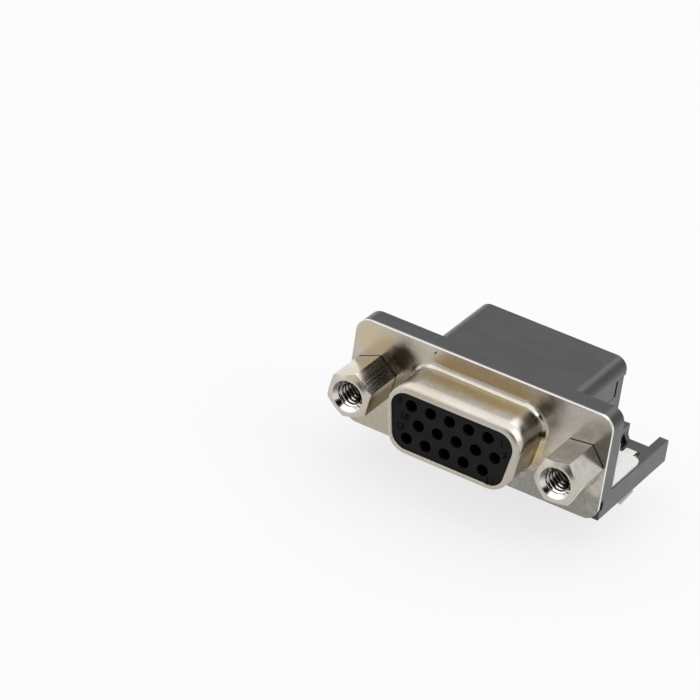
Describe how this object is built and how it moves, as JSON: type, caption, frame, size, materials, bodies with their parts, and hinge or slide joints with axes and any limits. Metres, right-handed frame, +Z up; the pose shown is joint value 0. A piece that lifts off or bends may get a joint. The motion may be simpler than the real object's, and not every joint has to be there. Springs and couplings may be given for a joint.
{
  "type": "right-angle board connector",
  "caption": "Right-angle D-shaped socket connector for circuit boards, with a plated metal collar, hex jack screws, a black moulded hood, solder tails and barbed board locks.",
  "frame": {"origin": "on the board's top face, under the front face of the metal flange, on the centre plane", "axes": "+X to the right as the plug sees it, +Y from the plug side to the rear, +Z up from the board"},
  "size_m": [0.0308, 0.0222, 0.0164],
  "materials": {
    "shell_plating": "satin nickel plating",
    "screw_plating": "bright nickel plating",
    "lock_plating": "matt tin plating",
    "contact_plating": "bright tin plating",
    "black_moulding": "fine satin, glass-filled"
  },
  "bodies": {
    "root": {"board_lock_left": "lock_plating", "board_lock_right": "lock_plating", "contact_01": "contact_plating", "contact_02": "contact_plating", "contact_03": "contact_plating", "contact_04": "contact_plating", "contact_05": "contact_plating", "contact_06": "contact_plating", "contact_07": "contact_plating", "contact_08": "contact_plating", "contact_09": "contact_plating", "contact_10": "contact_plating", "contact_11": "contact_plating", "contact_12": "contact_plating", "contact_13": "contact_plating", "contact_14": "contact_plating", "contact_15": "contact_plating", "front_shell": "shell_plating", "jack_screw_left": "screw_plating", "jack_screw_right": "screw_plating", "rear_hood": "black_moulding", "socket_insulator": "black_moulding", "tail_organiser": "black_moulding"}
  },
  "joints": []
}
